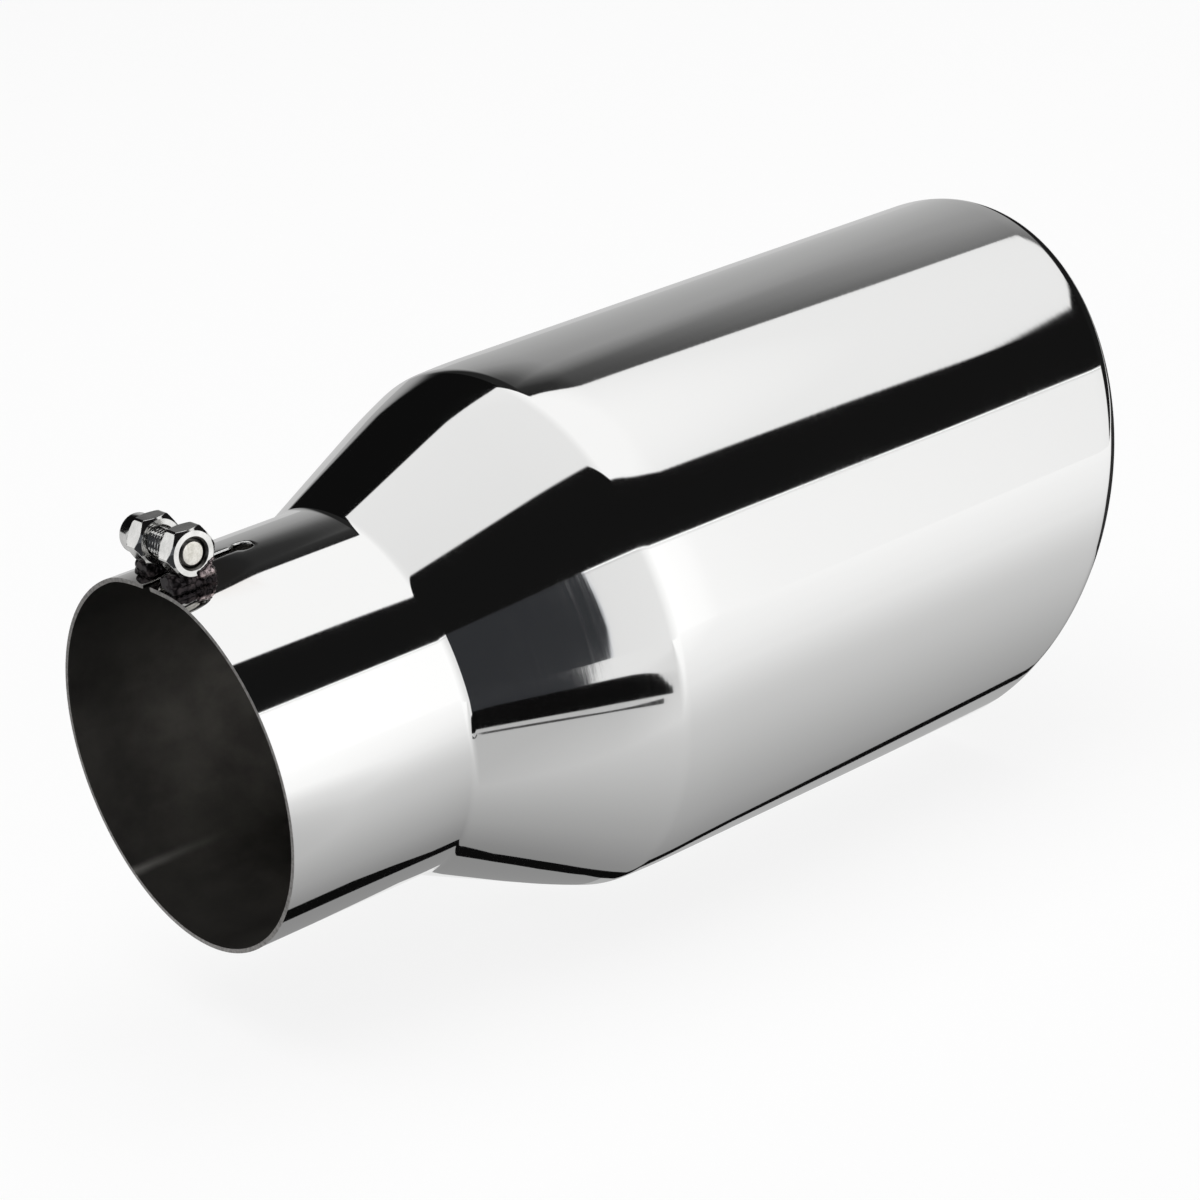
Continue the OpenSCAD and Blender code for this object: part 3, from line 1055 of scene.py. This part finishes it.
# ---------------------------------------------------------------- the studio
def glow(name, value, colour=(1, 1, 1)):
    m = bpy.data.materials.new(name)
    m.use_nodes = True
    nt = m.node_tree
    nt.nodes.clear()
    out = nt.nodes.new("ShaderNodeOutputMaterial")
    e = nt.nodes.new("ShaderNodeEmission")
    e.inputs["Color"].default_value = (*colour, 1)
    e.inputs["Strength"].default_value = value
    nt.links.new(e.outputs[0], out.inputs["Surface"])
    return m


def card(name, points, z, mat):
    """A flat card on the floor that only reflections see. Points in mm."""
    ob = make(name, [(x * MM, y * MM, z * MM) for x, y in points],
              [tuple(range(len(points)))], [mat], smooth=[False])
    ob.visible_camera = False
    ob.visible_diffuse = False
    ob.visible_shadow = False
    ob.visible_transmission = False
    ob.visible_volume_scatter = False
    return ob


FLOOR_Z = -77.0


def floor_paper():
    """White paper. The camera sees it nearly white, with a faint shadow."""
    m = bpy.data.materials.new("floor_paper")
    m.use_nodes = True
    nt = m.node_tree
    nt.nodes.clear()
    k = Nodes(nt)
    out = nt.nodes.new("ShaderNodeOutputMaterial")
    d = nt.nodes.new("ShaderNodeBsdfDiffuse")
    d.inputs["Color"].default_value = (0.86, 0.86, 0.86, 1)
    e = nt.nodes.new("ShaderNodeEmission")
    e.inputs["Color"].default_value = (1, 1, 1, 1)
    e.inputs["Strength"].default_value = 1.0
    mx = nt.nodes.new("ShaderNodeMixShader")
    lp = nt.nodes.new("ShaderNodeLightPath")
    k.put(mx.inputs[0], k.mul(lp.outputs["Is Camera Ray"], 0.85))
    nt.links.new(d.outputs[0], mx.inputs[1])
    nt.links.new(e.outputs[0], mx.inputs[2])
    nt.links.new(mx.outputs[0], out.inputs["Surface"])
    return m


def floor_glow():
    """What the polish mirrors of the floor in front: the tube's soft shadow, painted into the emission by place."""
    m = bpy.data.materials.new("front_floor")
    m.use_nodes = True
    nt = m.node_tree
    nt.nodes.clear()
    k = Nodes(nt)
    out = nt.nodes.new("ShaderNodeOutputMaterial")
    e = nt.nodes.new("ShaderNodeEmission")
    tc = nt.nodes.new("ShaderNodeTexCoord")
    sep = nt.nodes.new("ShaderNodeSeparateXYZ")
    nt.links.new(tc.outputs["Object"], sep.inputs[0])
    x, y, _ = sep.outputs
    away = k.mul(y, -1.0)
    # close to the tube, then farther out, so that both have enough steps
    f1 = k.curve(away, [(0.03, 0.26), (0.04, 0.30), (0.05, 0.36), (0.06, 0.42), (0.07, 0.465), (0.08, 0.51), (0.095, 0.57), (0.11, 0.62),
                        (0.125, 0.66), (0.14, 0.69), (0.16, 0.74), (0.185, 0.82), (0.215, 0.91), (0.26, 1.03), (0.33, 1.12), (0.45, 1.17)])
    f2 = k.curve(away, [(0.45, 0.0), (0.7, 0.03), (1.5, 0.06), (4.0, 0.08)])
    f = k.add(f1, f2)
    g = k.curve(x, [(0.02, 0.56), (0.045, 0.57), (0.06, 0.61), (0.075, 0.66), (0.09, 0.72), (0.105, 0.80), (0.137, 0.91), (0.165, 1.02),
                    (0.20, 1.12), (0.30, 1.3)])
    r = k.div(x, k.math("MAXIMUM", away, 0.02))
    h = k.curve(r, [(0.55, 1.0), (0.63, 0.97), (0.76, 0.91), (1.2, 0.90)])
    far = k.step(away, 0.24, 0.10)
    v = k.mul(k.math("MINIMUM", f, g), k.mix(far, 1.0, h))
    # out to the left and far away the room's white card takes over
    v = k.mix(k.mul(k.step(away, 0.42, 0.10), k.sub(1.0, k.step(x, 0.10, 0.10))), v, 0.95)
    k.put(e.inputs["Strength"], v)
    nt.links.new(e.outputs[0], out.inputs["Surface"])
    return m


floor = make("floor", [(-6, -6, FLOOR_Z * MM), (6, -6, FLOOR_Z * MM), (6, 6, FLOOR_Z * MM), (-6, 6, FLOOR_Z * MM)],
             [(0, 1, 2, 3)], [floor_paper()], smooth=[False])

BLACK = glow("dark_card", 0.004)
LINE = glow("line_shade", 0.06)
SIDE = glow("side_card", 0.036, (0.93, 0.98, 1.08))
UNDER = glow("under_card", 0.30)
UNDER2 = glow("under_card_bright", 0.45)
BACK = glow("back_card", 0.86)
BACK2 = glow("back_floor", 0.60)
RIGHT = glow("right_card", 0.03)
Z_C = -76.35
card("front_floor", [(-6000, -25), (-6000, -6000), (6000, -6000), (6000, -25)], -76.6, floor_glow())
# painted contact shadow: a black strip, seen only in reflections, where the tube's contact shadow lies on the floor
card("painted_contact_shadow_card", [(20, -40), (48, -40), (62, -37), (75, -33), (89, -33), (103, -34), (113, -34.5), (160, -41), (212, -45.5), (264, -49.5), (300, -53),
                   (300, -48.5), (264, -45), (212, -40.5), (160, -36.8), (113, -28), (107, -28.5), (93, -26), (79, -25.5), (67, -26), (45, -27), (20, -27)],
     Z_C, BLACK)
# painted shade: grey cards, seen only in reflections, for the floor under the tube lying in its shadow
card("under_card", [(20, -27), (45, -27), (67, -26), (79, -25.5), (93, -26), (107, -28.5), (113, -28), (114, -14), (100, 1), (80, 4), (70, 0), (45, 12), (20, 14)],
     Z_C, UNDER)
card("under_card_barrel", [(113, -28), (160, -36.8), (212, -40.5), (264, -45), (300, -48.5), (300, -35), (259, -30), (207, -22), (150, -19), (114, -14)],
     Z_C, UNDER2)
card("back_card", [(20, 14), (45, 12), (70, 0), (80, 4), (100, 1), (114, -14), (150, -19), (207, -22), (259, -30), (300, -35),
                   (420, 60), (420, 160), (-40, 160), (-40, 14)], Z_C, BACK)
card("back_floor", [(-6000, -25), (6000, -25), (6000, 6000), (-6000, 6000)], -76.6, BACK2)
card("front_gap", [(-105, -330), (5, -294), (24, -285), (41, -279), (62, -279), (81, -279), (98, -277), (95, -311), (84, -369), (66, -471),
                   (41, -529), (20, -558), (-12, -572), (-38, -585), (-79, -653), (-105, -705)], Z_C, BLACK)
card("front_line", [(7, -267), (22, -261), (39, -255), (55, -249), (70, -252), (92, -262), (94, -240), (72, -241), (57, -241), (41, -243),
                    (25, -248), (12, -252)], Z_C, LINE)
card("front_side", [(-12, -560), (-31, -598), (-59, -717), (-104, -905), (-169, -1179), (-270, -1600), (-384, -2077), (-595, -2964),
                    (-932, -4372), (-1310, -6000), (-6000, -6000), (-6000, -30), (-110, -30), (-110, -640), (-79, -600), (-38, -565)],
     -76.45, SIDE)
card("right_card", [(374, -105), (470, -190), (1600, -700), (1600, 500), (374, 250)], Z_C, RIGHT)


def studio_world():
    w = bpy.data.worlds.new("studio")
    bpy.context.scene.world = w
    w.use_nodes = True
    nt = w.node_tree
    nt.nodes.clear()
    k = Nodes(nt)
    out = nt.nodes.new("ShaderNodeOutputWorld")
    bg = nt.nodes.new("ShaderNodeBackground")
    nt.links.new(bg.outputs[0], out.inputs["Surface"])
    tc = nt.nodes.new("ShaderNodeTexCoord")
    sep = nt.nodes.new("ShaderNodeSeparateXYZ")
    nt.links.new(tc.outputs["Generated"], sep.inputs[0])
    x, y, z = sep.outputs
    ay = k.math("MAXIMUM", k.math("ABSOLUTE", y), 0.001)
    az = k.math("MAXIMUM", z, 0.001)
    r = k.div(x, ay)
    t = k.div(z, ay)
    u = k.div(x, az)
    v = k.div(y, az)
    front = k.step(k.mul(y, -1.0), 0.0, 0.02)

    # behind the object: a grey sweep, darker towards the top, black to its left
    shift = k.curve(r, [(0.0, 0.72), (0.9, 0.0), (1.1, 0.0), (1.23, -0.03), (1.41, -0.06), (1.57, -0.075), (1.9, -0.09)])
    z1 = k.add(z, shift)
    sweep = k.curve(z1, [(-0.3, 0.60), (-0.16, 0.60), (-0.06, 0.57), (0.07, 0.53), (0.18, 0.48), (0.29, 0.44), (0.39, 0.40),
                         (0.48, 0.34), (0.55, 0.23), (0.61, 0.10), (0.66, 0.035), (0.72, 0.02)])
    # and a white card low down at the far left
    low_left = k.sub(1.0, k.step(z, 0.335, 0.01))
    dark = k.mix(k.mul(k.sub(1.0, k.step(r, -0.56, 0.02)), low_left), 0.005, 1.0)
    back = k.mix(k.step(r, 0.365, 0.012), dark, sweep)

    # in front: a white card to the right, the dark side of the room to its left
    card_e = k.curve(x, [(-0.3, 0.90), (-0.1, 0.95), (0.2, 1.12), (0.5, 1.27), (0.56, 1.22), (0.61, 1.12), (0.65, 1.09), (0.72, 1.02)])
    side_e = k.curve(r, [(-3.0, 0.30), (-1.2, 0.10), (-0.6, 0.035), (-0.25, 0.035)])
    edge_r = k.curve(t, [(0.0, -0.2275), (0.2, -0.236), (0.35, -0.25), (0.5, -0.268), (0.7, -0.295), (0.8, -0.31)])
    top_t = k.curve(r, [(-0.3, 0.757), (0.0, 0.742), (0.75, 0.74), (0.95, 0.745), (1.02, 0.731), (1.07, 0.717), (1.2, 0.715), (2.0, 0.66)])
    # the card's upper edge catches the light, with a thin shade below it
    below = k.sub(top_t, t)
    rim = k.sub(1.0, k.step(below, 0.014, 0.004))
    shade = k.mul(k.step(below, 0.014, 0.004), k.sub(1.0, k.step(below, 0.032, 0.010)))
    card_e = k.mix(rim, k.mul(card_e, k.math("MULTIPLY_ADD", shade, -0.22, 1.0)), 1.5)
    front_e = k.mix(k.step(r, edge_r, 0.003), side_e, card_e)
    above = k.step(t, top_t, 0.008)
    front_e = k.mix(above, front_e, 0.008)
    horizon = k.mix(front, back, front_e)

    # overhead: a large soft box
    v_front = k.curve(u, [(-1.0, -0.16), (-0.2, -0.263), (-0.05, -0.282), (0.64, -0.41), (0.70, -0.445), (0.80, -0.47), (0.92, -0.50),
                          (1.02, -0.545), (1.6, -0.70)])
    v_back = k.curve(u, [(-1.0, 0.95), (0.03, 0.86), (0.08, 0.877), (0.13, 0.84), (0.19, 0.785), (0.65, 0.63), (0.74, 0.63), (0.80, 0.58),
                         (0.85, 0.571), (0.91, 0.535), (0.97, 0.50), (1.0, 0.49), (1.6, 0.25)])
    box = k.mul(k.step(v, v_front, 0.012), k.sub(1.0, k.step(v, v_back, 0.012)))
    box = k.mul(box, k.step(z, 0.30, 0.02))
    box = k.mul(box, k.mul(k.step(u, -1.1, 0.05), k.sub(1.0, k.step(u, 1.04, 0.012))))
    box_e = k.curve(u, [(-0.9, 0.80), (-0.1, 0.96), (0.1, 0.98), (0.5, 1.15), (0.7, 1.15), (0.85, 1.02), (1.2, 0.98)])
    e = k.mix(box, horizon, box_e)
    # nothing bright stands to the right
    e = k.mix(k.step(x, 0.75, 0.02), e, 0.012)

    cc = nt.nodes.new("ShaderNodeCombineColor")
    for s in cc.inputs:
        nt.links.new(e, s)
    # the camera side of the room is faintly blue
    blue = k.mul(k.mul(front, k.sub(1.0, k.step(r, edge_r, 0.012))), k.sub(1.0, above))
    tint = k.mixc(blue, (1, 1, 1, 1), (0.93, 0.98, 1.08, 1))
    mm = nt.nodes.new("ShaderNodeVectorMath")
    mm.operation = "MULTIPLY"
    nt.links.new(cc.outputs[0], mm.inputs[0])
    nt.links.new(tint, mm.inputs[1])
    # what the camera sees directly is a plain pale room
    lp = nt.nodes.new("ShaderNodeLightPath")
    seen = k.mixc(lp.outputs["Is Camera Ray"], mm.outputs[0], (0.985, 0.985, 0.985, 1))
    nt.links.new(seen, bg.inputs["Color"])
    bg.inputs["Strength"].default_value = 1.0
    w.cycles.sampling_method = "MANUAL"
    w.cycles.sample_map_resolution = 1024
    return w


studio_world()

# a broad soft lamp overhead that lights the floor and is not mirrored
lamp = bpy.data.lights.new("overhead", "AREA")
lamp.shape = "RECTANGLE"
lamp.size, lamp.size_y = 2.4, 2.4
lamp.energy = 34.0
lamp_ob = bpy.data.objects.new("overhead", lamp)
lamp_ob.location = (0.2, 0.0, 2.0)
lamp_ob.visible_camera = False
lamp_ob.visible_glossy = False
bpy.context.scene.collection.objects.link(lamp_ob)


def inside_lamp(name, place, target, energy, spread):
    """A narrow soft lamp that lights the dull inside and is not mirrored."""
    li = bpy.data.lights.new(name, "SPOT")
    li.energy = energy
    li.spot_size = math.radians(spread)
    li.spot_blend = 0.6
    li.shadow_soft_size = 0.08
    ob = bpy.data.objects.new(name, li)
    ob.location = place
    ob.rotation_euler = (Vector(target) - Vector(place)).to_track_quat("-Z", "Y").to_euler()
    ob.visible_camera = False
    ob.visible_glossy = False
    bpy.context.scene.collection.objects.link(ob)


inside_lamp("through_outlet", (1.35, -0.50, 0.10), (0.05, 0.03, -0.01), 34.0, 12.0)
inside_lamp("into_inlet", (-1.2, -0.75, 0.30), (0.02, 0.03, -0.02), 0.7, 10.0)

# ---------------------------------------------------------------- camera
right = Vector((0.75997116, -0.64142254, -0.10498077))
up = Vector((0.31197949, 0.21830057, 0.92466949))
fwd = Vector((0.57018649, 0.73547399, -0.36601281))
cam = bpy.data.cameras.new("camera")
cam.sensor_fit = "HORIZONTAL"
cam.sensor_width = 36.0
cam.lens = 104.142
cam.clip_start, cam.clip_end = 0.05, 30.0
cam_ob = bpy.data.objects.new("camera", cam)
m = Matrix.Identity(4)
for c, vec in enumerate((right, up, -fwd)):
    for r_ in range(3):
        m[r_][c] = vec[r_]
m.translation = Vector((-0.41919513, -0.72840739, 0.36045817))
cam_ob.matrix_world = m
bpy.context.scene.collection.objects.link(cam_ob)
bpy.context.scene.camera = cam_ob

sc = bpy.context.scene
sc.view_settings.view_transform = "Standard"
sc.view_settings.look = "None"
sc.view_settings.exposure = 0.0
sc.view_settings.gamma = 1.0
